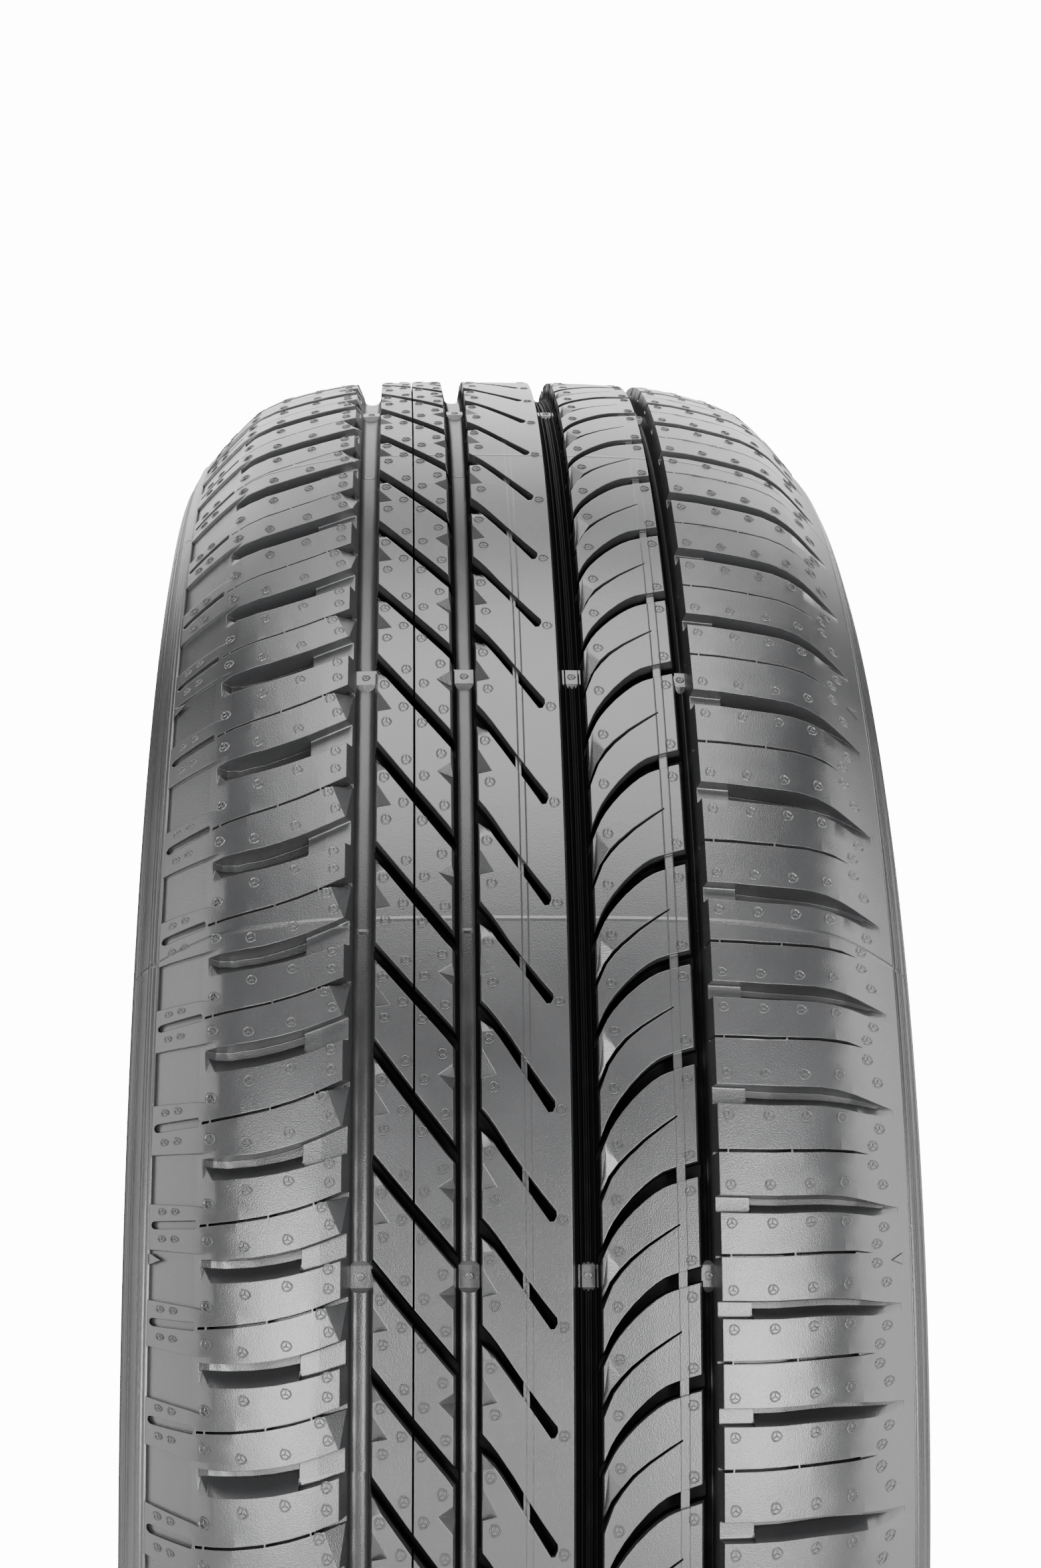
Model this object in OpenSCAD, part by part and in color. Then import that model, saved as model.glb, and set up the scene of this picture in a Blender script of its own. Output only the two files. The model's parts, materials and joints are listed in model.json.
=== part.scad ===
// A car tyre with an asymmetric five-rib tread, standing upright as it rolls.
// The origin is the tyre's centre, the spin axis is Y, and Z points up.
// The outer side of the tread, with the closed shoulder pads, is at -Y.
// All lengths are in millimetres and all angles in degrees.

/* [Size] */
// Overall diameter across the crown
outer_diameter = 738; // [680:1:800]
// Diameter of the bead seats, where the tyre sits on an 18 inch rim
bead_diameter = 462; // [430:0.1:500]
// Widest distance across the sidewalls
section_width = 232; // [224:1:246]
// Distance between the outer faces of the two beads
bead_spread = 178; // [165:1:190]

/* [Crown and walls] */
// Half of the tread width, from the centre line to a shoulder edge
tread_half_width = 106; // [104:0.5:108]
// How far the tread surface has dropped at the shoulder edges
shoulder_drop = 30; // [26:0.5:34]
// Rubber and belts between the crown and the inner liner
crown_thickness = 18; // [14:0.5:24]
// Thickness of the sidewall at its widest place
sidewall_thickness = 10; // [7:0.5:14]

/* [Main grooves] */
// Depth of the four grooves that run round the tyre
groove_depth = 8; // [6:0.1:9.5]
// How far the right-hand edge of a rib leans back from its groove
edge_lean = 1.2; // [0.4:0.1:2]
// Height of a tread wear bar above the groove floor
wear_bar_height = 1.6; // [1.2:0.1:2.4]
// Length of a tread wear bar along its groove
wear_bar_length = 6; // [4:0.5:10]
// Number of wear bars in each groove
wear_bars = 12; // [6:1:16]
// Height above the middle of the front where the first wear bar is, as an angle
first_wear_bar = 2.4; // [0:0.1:20]

/* [Cross grooves] */
// Depth of the wide cross grooves
cross_depth = 6.5; // [4.5:0.1:7.2]
// Depth of the thin sipes
sipe_depth = 5; // [3:0.1:6.5]
// Width of the thin sipes
sipe_width = 0.8; // [0.5:0.1:1.2]
// Depth of the raised floors that tie neighbouring blocks together
tie_depth = 3.6; // [2:0.1:4.4]
// How deep the corner facets have gone where they meet a main groove
facet_depth = 4.5; // [2.5:0.1:5.5]

/* [Outer shoulder] */
// Depth of the flat panels between the raised pads
panel_depth = 1; // [0.5:0.1:2]
// Depth of the round-ended slot in each pad
slot_depth = 2; // [1:0.1:3]

/* [Pitches] */
// Length of a short pitch, as a share of a middle one
short_pitch = 0.88; // [0.84:0.01:0.95]
// Length of a long pitch, as a share of a middle one
long_pitch = 1.09; // [1.04:0.01:1.14]
// Angle where the first pitch starts, from the middle of the tyre's front
first_pitch_angle = -5.8; // [-20:0.1:20]

/* [Hidden] */

// Order of short, middle and long pitches, mixed so that the tread rolls quietly.
pitch_order = str("SSSMSMLLMLLMMSMLLSMSSMLMLLSMSLMSSLML",
                  "MLSSMLLMSSLMLMSSMLLSLMMSSLLMSMSLLMSM");
pitches = len(pitch_order);
function pitch_share(i) =
    pitch_order[i] == "S" ? short_pitch : pitch_order[i] == "L" ? long_pitch : 1;
function shares_before(i) = i <= 0 ? 0 : shares_before(i - 1) + pitch_share(i - 1);
middle_pitch = 360 / shares_before(pitches);
// The pattern is drawn for a pitch of this length and stretched along each real one.
drawn_pitch = 29.2;
function pitch_angle(i) = middle_pitch * pitch_share(i);
function stretch(i) = outer_diameter * PI * pitch_angle(i) / 360 / drawn_pitch;

crown_radius = outer_diameter / 2;
bead_radius = bead_diameter / 2;
half_section = section_width / 2;
half_spread = bead_spread / 2;

// The tread surface is nearly flat in the middle and rounds off steeply to the shoulder
// edges: pairs of a distance from the centre line and the drop there.
knee = 90;
crown_rings = [
    [0, 0], [16.5, 0], [17.5, 0.015 * shoulder_drop], [48, 0.015 * shoulder_drop],
    [knee, 0.41 * shoulder_drop], [tread_half_width, shoulder_drop]];
function crown_r(y) = crown_radius - lookup(abs(y), crown_rings);
// Slope of that surface.
function slope(y) = atan((crown_r(y - 2) - crown_r(y + 2)) / 4);

// Edges of the ribs across the tread, from the outer shoulder to the inner one.
rib1_edge = -50;
rib2 = [-43.4, -20.6];
rib3 = [-14, 11.6];
rib4 = [18.4, 45.8];
rib5_edge = 50;

function lerp(a, b, t) = a + (b - a) * t;
// Points along a smooth curve that leaves p towards q and arrives at r from q.
function bend(p, q, r, n) = [for (i = [0:n]) let (t = i / n)
    (1 - t) * (1 - t) * p + 2 * t * (1 - t) * q + t * t * r];
function reversed(list) = [for (i = [len(list) - 1:-1:0]) list[i]];
function mirrored(list) = [for (p = list) [-p[0], p[1]]];

mid_radius = lerp(bead_radius, crown_radius, 0.5);
// The outer face of a sidewall, from the shoulder edge down to the bead heel.
outer_wall = let (heel = [half_spread, bead_radius + 6],
                  flank = [half_spread + 9, bead_radius + 20])
    concat(
        bend([tread_half_width, crown_r(tread_half_width)],
             [half_section - 2.5, crown_r(tread_half_width) - 8],
             [half_section - 1, lerp(mid_radius, crown_radius, 0.26)], 8),
        bend([half_section - 0.4, mid_radius + 7], [half_section + 0.4, mid_radius],
             [half_section - 1, mid_radius - 9], 3),
        bend([half_section - 4.5, mid_radius - 21], [half_section - 13, bead_radius + 30], flank, 4),
        bend([half_spread + 5, bead_radius + 18.5], [half_spread, bead_radius + 15], heel, 3));
// The face of the air chamber, from the bead toe up to the middle of the crown.
inner_wall = let (liner = crown_radius - crown_thickness,
                  inside = half_section - sidewall_thickness)
    concat(
        [[half_spread - 16, bead_radius], [half_spread - 17, bead_radius + 3]],
        bend([half_spread - 15, bead_radius + 12], [half_spread - 4, bead_radius + 21],
             [inside - 9, bead_radius + 36], 5),
        bend([inside - 3, bead_radius + 48], [inside + 1, mid_radius],
             [inside - 2, mid_radius + 12], 4),
        bend([inside - 5, mid_radius + 18], [inside - 9, liner - 24],
             [tread_half_width - 18, liner - 12], 4),
        [[46, liner - 1], [0, liner]]);

// One main groove seen in the section, with a floor that curves up to its sides. The left
// side leans by the amount that the rib above it has been cut back; the right one is upright.
module groove_section(left, right, lean) {
    floor_r = crown_r((left + right) / 2) - groove_depth;
    corner = (right - left) * 0.22;
    polygon([
        [left - lean, crown_radius + 5],
        [left - lean, crown_r(left - lean) + 0.01],
        [left, floor_r + 1.2],
        [left + corner, floor_r],
        [right - corner, floor_r],
        [right, floor_r + 1.2],
        [right, crown_radius + 5]]);
}

// The tyre's section, drawn with y across and radius up.
module tyre_section() {
    half_tread = [for (i = [1:len(crown_rings) - 2]) [crown_rings[i][0], crown_r(crown_rings[i][0])]];
    bead = [[half_spread, bead_radius + 2], [half_spread - 1.5, bead_radius]];
    difference() {
        polygon(concat(half_tread, outer_wall, bead, inner_wall, reversed(mirrored(inner_wall)),
                       reversed(mirrored(bead)), reversed(mirrored(outer_wall)),
                       reversed(mirrored(half_tread))));
        groove_section(rib1_edge, rib2[0], 2);
        groove_section(rib2[1], rib3[0], edge_lean);
        groove_section(rib3[1], rib4[0], edge_lean);
        groove_section(rib4[1], rib5_edge, edge_lean);
    }
}

// Puts its children on every pitch, at the given share of the pitch past its start. The
// stretch of each pitch reaches them as $s.
module every_pitch(share) {
    for (i = [0:pitches - 1])
        rotate([0, 0, first_pitch_angle + middle_pitch * shares_before(i + 1)
                      + share * pitch_angle(i)])
            let ($s = stretch(i)) children();
}

// Where each rib's share of the pattern starts in a pitch.
rib1_share = 0.24;
rib2_share = 0;
rib3_share = 0.4;
rib4_share = -0.14;
rib5_share = -0.4;

// A straight-walled cutter: an outline of places [across, along] on the tread, sunk to the
// given depth, with its floor parallel to the tread surface at y.
module cut(outline, depth, y) {
    at_surface(y) translate([-y, 0, -depth])
        linear_extrude(depth + 5) polygon([for (p = outline) [p[0], p[1] * $s]]);
}

// Puts its children on the tread surface at y, leaning with it.
module at_surface(y) {
    translate([crown_r(y), 0, 0]) rotate([0, 90, 0]) translate([y, 0, 0])
        rotate([0, slope(y), 0]) children();
}

// A sloping corner facet: it leaves the tread surface along the line from a to b and has
// gone down to the given depth where it reaches c.
module facet(a, b, c, depth) {
    p = [a[0], a[1] * $s];
    ab = [b[0], b[1] * $s] - p;
    ac = [c[0], c[1] * $s] - p;
    along = norm(ab);
    reach = (ab[0] * ac[1] - ab[1] * ac[0]) / along;
    translate([crown_r(a[0]), 0, 0]) rotate([0, 90, 0]) translate([p[0], p[1], 0])
        rotate([0, 0, atan2(ab[1], ab[0])])
            rotate([-atan2(depth, abs(reach)) * sign(reach), 0, 0]) linear_extrude(9)
                polygon([[0, 0], [along, 0], [ab * ac / along, reach * 1.05]]);
}

// Outline of a band between the places of its upper edge and those of its lower edge.
function band(upper, lower) = concat(upper, reversed(lower));
// A thin sipe follows a line of places; its width is measured along the tread.
function sipe(line) = band([for (p = line) p + [0, sipe_width / 2]],
                           [for (p = line) p - [0, sipe_width / 2]]);

// First rib, the outer shoulder: a wide groove with a raised floor at its inner end, a
// thin sipe, and a corner facet between them.
module outer_wide_groove()
    cut([[-62.6, -3.9], [-91.4, -8.5], [-91.4, -15.1], [-62.6, -10.7]], cross_depth, -62.6);
module outer_tie()
    cut([[-46, 2], [-62.6, -3.9], [-62.6, -10.7], [-46, -5.6]], tie_depth, -62.6);
module outer_sipe() cut(sipe([[-45.2, 12.7], [-91, 1]]), sipe_depth, -72);
module outer_facet() facet([-56.2, 9.2], [-52.4, -0.4], [-49, 10], facet_depth * 0.8);

// The band outside the first rib: a shallow panel in line with each wide groove, and a
// round-ended slot in line with each sipe.
module shoulder_panel()
    cut([[-84.5, 6.8 - drawn_pitch], [-84.5, -6], [-111.2, -5], [-111.2, 8.6 - drawn_pitch]],
        panel_depth, -98);
module shoulder_slot() {
    at_surface(-98) translate([0, 1.8 * $s, -slot_depth]) linear_extrude(slot_depth + 5) {
        translate([-9.6, 0]) circle(1.2, $fn = 24);
        translate([-9.6, -1.2]) square([18.4, 2.4]);
    }
}

// Second rib: a slanting groove right across, a notch on the left edge and a two-sided
// notch on the right edge.
module second_groove()
    cut([[-45.4, 2.2], [-17.4, -31.5], [-17.4, -37.1], [-45.4, -3.4]], cross_depth, -32);
module second_left_notch() facet([-39.1, -19.3], [-42.8, -13.4], [-44, -19.9], facet_depth * 0.7);
module second_right_notch_upper()
    facet([-25.8, -9.7], [-21.6, -7.1], [-20, -9.8], facet_depth * 0.8);
module second_right_notch_lower()
    facet([-25.8, -9.7], [-21.2, -14.4], [-20, -9.6], facet_depth * 0.8);

// Third rib: a slanting blind groove that starts wide, and a notch on the left edge. The
// right part of the rib is left plain.
module third_groove()
    cut([[-16, 1.4], [-10, -5.4], [6.2, -28.2], [4.6, -31.4], [-10.8, -9.6], [-16, -5.4]],
        cross_depth, -5);
module third_notch() facet([-9.8, -21.4], [-13.6, -14.2], [-14.8, -22.4], facet_depth * 0.7);

// Fourth rib: a wide groove that sweeps up to the right, a thin sipe beside it that stops
// short of the edge, and one large facet between the two.
module fourth_groove()
    cut(band([[48, 2.2], [36.5, -0.8], [24.6, -10.6], [17, -23.5]],
             [[48, -2.2], [34, -5.7], [17, -27.6]]), cross_depth, 32);
module fourth_sipe()
    cut(band([[39.6, -15.6], [23.4, -27.6], [16.6, -40]],
             [[39.6, -16.2], [24, -28.6], [17.4, -41]]), sipe_depth, 30);
module fourth_facet() facet([20, -23.4], [23.4, -28.4], [17.6, -37], facet_depth);

// Fifth rib, the inner shoulder: a nearly straight groove with a raised floor at its
// start, which runs out where the shoulder falls away, and a thin sipe.
module inner_tie() cut([[48, 0], [59.3, -0.1], [59.3, -5.1], [48, -5]], tie_depth, 59.3);
module inner_wide_groove()
    cut(band([[59.3, -0.1], [82, 0], [107, -2.8]], [[59.3, -5.1], [82, -5], [107, -6.6]]),
        cross_depth, 59.3);
module inner_sipe() cut(sipe([[47, -16.4], [95.4, -16.4]]), sipe_depth, 72);

// Small blocks across the groove floors that show when the tread is worn out.
module wear_bar(left, right) {
    floor_r = crown_r((left + right) / 2) - groove_depth;
    translate([floor_r - 2, -wear_bar_length / 2, -right - 0.6])
        cube([2 + wear_bar_height, wear_bar_length, right - left + 1.2]);
}

module tyre() {
    color([0.16, 0.16, 0.165]) rotate([90, 0, 0]) difference() {
        union() {
            rotate_extrude($fn = 180) rotate(-90) tyre_section();
            for (k = [0:wear_bars - 1]) rotate([0, 0, first_wear_bar + k * 360 / wear_bars]) {
                wear_bar(rib1_edge, rib2[0]);
                wear_bar(rib2[1], rib3[0]);
                wear_bar(rib3[1], rib4[0]);
                wear_bar(rib4[1], rib5_edge);
            }
        }
        every_pitch(rib1_share) outer_wide_groove();
        every_pitch(rib1_share) outer_tie();
        every_pitch(rib1_share) outer_sipe();
        every_pitch(rib1_share) outer_facet();
        every_pitch(rib1_share) shoulder_panel();
        every_pitch(rib1_share) shoulder_slot();
        every_pitch(rib2_share) second_groove();
        every_pitch(rib2_share) second_left_notch();
        every_pitch(rib2_share) second_right_notch_upper();
        every_pitch(rib2_share) second_right_notch_lower();
        every_pitch(rib3_share) third_groove();
        every_pitch(rib3_share) third_notch();
        every_pitch(rib4_share) fourth_groove();
        every_pitch(rib4_share) fourth_sipe();
        every_pitch(rib4_share) fourth_facet();
        every_pitch(rib5_share) inner_tie();
        every_pitch(rib5_share) inner_wide_groove();
        every_pitch(rib5_share) inner_sipe();
    }
}

tyre();
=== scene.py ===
"""Car tyre: the tread is modelled flat for one pitch, then wrapped round the crown pitch by pitch."""

import json
import math

import bmesh
import bpy
from bpy.props import FloatProperty, FloatVectorProperty, IntProperty, PointerProperty
from bpy.types import Operator, Panel, PropertyGroup
from mathutils import Matrix, Vector


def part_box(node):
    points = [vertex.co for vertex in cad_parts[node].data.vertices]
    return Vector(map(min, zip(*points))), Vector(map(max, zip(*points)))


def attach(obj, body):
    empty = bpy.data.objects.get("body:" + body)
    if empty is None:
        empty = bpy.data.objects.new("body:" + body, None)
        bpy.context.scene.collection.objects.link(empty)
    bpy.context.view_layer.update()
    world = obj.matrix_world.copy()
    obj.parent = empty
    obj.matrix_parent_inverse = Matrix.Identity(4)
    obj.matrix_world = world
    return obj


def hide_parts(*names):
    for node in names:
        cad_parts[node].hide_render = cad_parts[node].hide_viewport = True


bl_info = {
    "name": "Car tyre",
    "version": (1, 0, 0),
    "blender": (4, 5, 0),
    "location": "3D View > Sidebar > Tyre",
    "description": "Builds a car tyre with an asymmetric ribbed tread, its rubber and a studio stage",
    "category": "Add Mesh",
}

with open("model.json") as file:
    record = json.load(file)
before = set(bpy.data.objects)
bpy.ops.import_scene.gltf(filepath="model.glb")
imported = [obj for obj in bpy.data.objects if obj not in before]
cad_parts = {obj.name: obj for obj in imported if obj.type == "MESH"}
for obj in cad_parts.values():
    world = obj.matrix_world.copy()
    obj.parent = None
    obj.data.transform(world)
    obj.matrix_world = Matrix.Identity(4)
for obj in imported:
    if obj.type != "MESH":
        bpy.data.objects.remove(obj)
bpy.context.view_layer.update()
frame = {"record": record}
MM = 0.001

# Sizes are in millimetres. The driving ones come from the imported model.
LOW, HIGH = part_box("tyre")
BEAD_SEAT = frame["record"]["mounts"][0]["dims"]
# The vent marks stand up to the full size, so the crown lies a little lower.
CROWN_RADIUS = (HIGH[2] - LOW[2]) / 2 / MM - 0.28
HALF_SECTION = (HIGH[1] - LOW[1]) / 2 / MM
BEAD_RADIUS = BEAD_SEAT["r_mm"]
HALF_SPREAD = BEAD_SEAT["length_mm"] / 2 + 1.5
CROWN_THICKNESS = 18.0
WALL_THICKNESS = 10.0
CARCASS_STEPS = 240

# The pattern is drawn flat for a pitch of this length, on a slab that runs out a little past the
# tread's edges. The main grooves' lips run along it.
PITCH = 29.2
HALF_TREAD = 104.0
SLAB_EDGE = HALF_TREAD + 0.6
SLAB_DEPTH = 13.0
MAIN_GROOVES = ((-50.0, -43.6), (-20.6, -14.2), (11.6, 18.2), (45.9, 49.7))
# The three middle ribs lie between these places. Their cross grooves are the narrow ones.
MIDDLE_RIBS = (-43.5, 48.0)
# Where each rib's part of the pattern starts, as a share of the pitch.
RIB1, RIB2, RIB3, RIB4, RIB5 = 0.24, 0.0, 0.4, -0.14, -0.4
# Cutters end this far above the slab, and stand at these pitches of it.
ABOVE = 4.0
CUTTER_PITCHES = range(-2, 3)
# The flat pitch is sliced here, on both sides, and at even places along it, so that it can bend.
SLICES_ACROSS = (32.0, 58.0, 66.0, 74.0, 80.0, 85.0, 89.0, 93.0, 97.0, 101.0)
SLICES_ALONG = 6

# How far the tread surface lies below the crown radius at places across it.
CROWN_RINGS = ((0, 0.0), (17, 0.0), (32, 0.3), (50, 1.1), (60, 2.3), (70, 4.5), (80, 7.4), (86, 10.2),
               (91, 13.7), (95, 17.6), (99, 21.9), (102, 25.3), (104.5, 28.4), (107, 31.5), (110, 35.2))
# From here outwards the flat pattern spreads, deepens by a share and runs ahead, and most so at
# its edges.
SHOULDER_START = 60.0
INNER_SPREAD = 3.1
OUTER_SPREAD = 1.4
SHOULDER_DEEPENING = 0.35
SHOULDER_LEAD = 7.0
LEAD_POWER = 1.7

# Short, middle and long pitches in the order in which they follow each other.
PITCH_ORDER = ("SSSMSMLLMLLMMSMLLSMSSMLMLLSMSLMSSLML"
               "MLSSMLLMSSLMLMSSMLLSLMMSSLLMSMSLLMSM")
PITCH_SHARES = {"S": 0.88, "M": 1.0, "L": 1.09}
PITCHES_PER_PIECE = 8
# Where the first pitch and the first row of wear bars stand, in degrees.
FIRST_PITCH_ANGLE = -5.8
FIRST_WEAR_BAR = 2.4
# The bars' height above the groove floor, and where the triangles that point to them stand.
WEAR_BAR_HEIGHT = 1.6
OUTER_POINTER = -102.6
INNER_POINTER = 100.4

# Faint lines: the mould's segments meet at these angles, and lines run round these places.
FIRST_PARTING_LINE = 18.1
SEGMENT_ANGLE = 360.0 / 11
RING_LINES = (-2.2, -0.4, 39.0, 41.4)
# Fine ridges and grooves round each sidewall: distance from the shoulder edge, width and
# height, or depth if below nought.
OUTER_SIDE_RIDGES = ((1.2, 1.6, -0.5), (3.2, 1.2, 0.35), (4.6, 0.9, -0.3), (9.5, 1.4, -0.45),
                     (12.0, 0.8, 0.3), (14.2, 0.8, 0.3), (17.0, 1.0, -0.3), (24.0, 1.4, 0.4))
INNER_SIDE_RIDGES = ((1.0, 1.4, -0.5), (2.6, 0.9, 0.3), (4.4, 0.9, -0.3), (7.5, 1.2, 0.35),
                     (10.5, 0.9, -0.3), (14.0, 0.8, 0.3), (20.0, 1.2, 0.4))

# Brightness of the room around the tyre, and its soft lights: size, power, place and aim, in
# metres and watts.
DIM_ROOM = 0.1
WHITE_BACKDROP = 14.0
SOFT_LIGHTS = (
    ("front left", (0.35, 1.1), 64.0, (1.45, -0.6, -0.2), (0.35, -0.06, 0.0)),
    ("front right", (0.35, 1.1), 68.0, (1.45, 0.6, -0.2), (0.35, 0.06, 0.0)),
    ("side left", (1.2, 1.6), 24.0, (0.1, -1.5, 0.2), (0.1, 0.0, 0.0)),
    ("side right", (1.2, 1.6), 32.0, (0.1, 1.5, 0.2), (0.1, 0.0, 0.0)),
    ("above", (1.6, 1.4), 80.0, (0.9, 0.0, 1.8), (0.25, 0.0, 0.2)),
    ("behind", (2.4, 1.6), 56.0, (-1.1, 0.0, 1.7), (0.1, 0.0, 0.3)),
)
# The photo's viewpoint, solved from the lines that run round the tread: its distance from the
# axle in crown radii, its place across the tyre, its turns in degrees, and its lens in pixels.
VIEW_DISTANCE = 3.156
VIEW_ACROSS = -38.4
VIEW_YAW = 2.53
VIEW_TILT = 10.64
VIEW_ROLL = -0.21
FOCAL_PIXELS = 4402
PHOTO_WIDTH = 1568
SENSOR_WIDTH = 36.0


class TyreSizes(PropertyGroup):
    """Sizes that a user would change."""

    groove_depth: FloatProperty(
        name="Groove depth", description="Depth of the four main grooves, in millimetres",
        default=8.0, min=6.0, max=9.5)
    cross_depth: FloatProperty(
        name="Cross groove depth", description="Depth of the wide cross grooves, in millimetres",
        default=6.5, min=4.5, max=7.2)
    tie_depth: FloatProperty(
        name="Tie depth", description="Depth of the raised floors between blocks, in millimetres",
        default=3.6, min=2.0, max=4.4)
    sipe_depth: FloatProperty(
        name="Sipe depth", description="Depth of the thin sipes, in millimetres",
        default=5.0, min=3.0, max=6.5)
    sipe_width: FloatProperty(
        name="Sipe width", description="Width of the thin sipes, in millimetres",
        default=0.7, min=0.5, max=1.2)
    facet_depth: FloatProperty(
        name="Facet depth", description="How deep the corner facets go, in millimetres",
        default=4.5, min=2.5, max=5.5)
    panel_depth: FloatProperty(
        name="Panel depth", description="Depth of the outer shoulder's flat panels, in millimetres",
        default=1.0, min=0.5, max=2.0)
    slot_depth: FloatProperty(
        name="Slot depth", description="Depth of the outer shoulder's round-ended slots, in millimetres",
        default=2.0, min=1.0, max=3.0)
    vent_mark_radius: FloatProperty(
        name="Vent mark radius",
        description="Radius of the round marks left by the mould's vents, in millimetres",
        default=1.65, min=0.8, max=2.2)
    wear_bars: IntProperty(
        name="Wear bars", description="Wear bars in each main groove", default=12, min=6, max=16)


class TyreColours(PropertyGroup):
    """Colours that a user would change."""

    rubber: FloatVectorProperty(
        name="Rubber", description="Colour of the rubber", subtype="COLOR",
        size=3, default=(0.010, 0.0101, 0.0105), min=0.0, max=1.0)
    # Painted shade: the near-black colour mixed in down in the grooves in place of their shadow.
    groove: FloatVectorProperty(
        name="Grooves", description="Colour of the rubber down in the grooves", subtype="COLOR",
        size=3, default=(0.001, 0.001, 0.001), min=0.0, max=1.0)
    floor: FloatVectorProperty(
        name="Floor", description="Colour of the floor", subtype="COLOR",
        size=3, default=(0.9, 0.9, 0.9), min=0.0, max=1.0)


def mix(a, b, t):
    """The value at the share t of the way from a to b."""
    return a + (b - a) * t


def bend(p, q, r, steps):
    """Places along a smooth curve that leaves p towards q and arrives at r from q."""
    curve = []
    for i in range(steps + 1):
        t = i / steps
        curve.append(tuple(mix(mix(a, b, t), mix(b, c, t), t) for a, b, c in zip(p, q, r)))
    return curve


def crown_r(y):
    """The radius of the tread surface at a place across the tyre."""
    for (a0, d0), (a1, d1) in zip(CROWN_RINGS, CROWN_RINGS[1:]):
        if abs(y) <= a1:
            break
    return CROWN_RADIUS - mix(d0, d1, (abs(y) - a0) / (a1 - a0))


def shoulder_share(x):
    """How far out on the rounded shoulder a place of the flat pattern is."""
    return max(0.0, abs(x) - SHOULDER_START) / (HALF_TREAD - SHOULDER_START)


def spread(x):
    """The real place across the tyre for a place of the flat pattern."""
    return x + (INNER_SPREAD if x > 0 else -OUTER_SPREAD) * shoulder_share(x) ** 2


def pitch_angles():
    """The start and the length of each pitch, in radians."""
    shares = [PITCH_SHARES[letter] for letter in PITCH_ORDER]
    middle = 2 * math.pi / sum(shares)
    starts = []
    at = math.radians(FIRST_PITCH_ANGLE)
    for share in shares:
        starts.append((at, share * middle))
        at += share * middle
    return starts


def wrapped(place, angle):
    """A place on the tyre, in metres, for [across, along, height] and the angle of along."""
    out = shoulder_share(place[0])
    y = spread(place[0])
    r = (crown_r(y) + place[2] * (1.0 + SHOULDER_DEEPENING * out)) * MM
    angle += SHOULDER_LEAD * out ** LEAD_POWER / CROWN_RADIUS
    return Vector((r * math.cos(angle), y * MM, r * math.sin(angle)))


def deselect():
    """Leaves edit mode and selects nothing."""
    if bpy.context.object and bpy.context.object.mode != "OBJECT":
        bpy.ops.object.mode_set(mode="OBJECT")
    bpy.ops.object.select_all(action="DESELECT")


def make_active(piece):
    """Makes the piece the only selected one."""
    deselect()
    piece.select_set(True)
    bpy.context.view_layer.objects.active = piece


def piece_from(mesh):
    """A new object that shows the mesh and has its name."""
    piece = bpy.data.objects.new(mesh.name, mesh)
    bpy.context.scene.collection.objects.link(piece)
    return piece


def mesh_piece(name, places, faces, edges=()):
    """A new object from corner places, faces and loose edges."""
    mesh = bpy.data.meshes.new(name)
    mesh.from_pydata(places, edges, faces)
    return piece_from(mesh)


def point_outwards(piece):
    """Turns all faces of a closed piece outwards."""
    make_active(piece)
    bpy.ops.object.mode_set(mode="EDIT")
    bpy.ops.mesh.select_all(action="SELECT")
    bpy.ops.mesh.normals_make_consistent(inside=False)
    bpy.ops.object.mode_set(mode="OBJECT")


def round_edges(piece, chosen, rounding):
    """Rounds the chosen edges, which are pairs of corner numbers, low one first."""
    make_active(piece)
    bpy.ops.object.mode_set(mode="EDIT")
    bpy.ops.mesh.select_mode(type="EDGE")
    bpy.ops.mesh.select_all(action="DESELECT")
    bpy.ops.object.mode_set(mode="OBJECT")
    for edge in piece.data.edges:
        edge.select = tuple(sorted(edge.vertices)) in chosen
    bpy.ops.object.mode_set(mode="EDIT")
    bpy.ops.mesh.bevel(offset=rounding, segments=3, affect="EDGES")
    bpy.ops.object.mode_set(mode="OBJECT")


def prisms(name, outline, floor, share, rounding=0.0, pitches=CUTTER_PITCHES):
    """Upright cutters with one outline, at every pitch of the flat tread, with a floor that is
    either one height or one height for each corner."""
    heights = floor if isinstance(floor, (list, tuple)) else [floor] * len(outline)
    places, faces, floor_edges = [], [], set()
    n = len(outline)
    for k in pitches:
        start = len(places)
        shift = (k + share) * PITCH
        places += [(x, y + shift, z) for (x, y), z in zip(outline, heights)]
        places += [(x, y + shift, ABOVE) for x, y in outline]
        faces.append([start + i for i in range(n)])
        faces.append([start + n + i for i in range(n)])
        for i in range(n):
            after = (i + 1) % n
            faces.append([start + i, start + after, start + n + after, start + n + i])
            floor_edges.add((start + min(i, after), start + max(i, after)))
    piece = mesh_piece(name, places, faces)
    point_outwards(piece)
    if rounding:
        round_edges(piece, floor_edges, rounding)
    return piece


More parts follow.
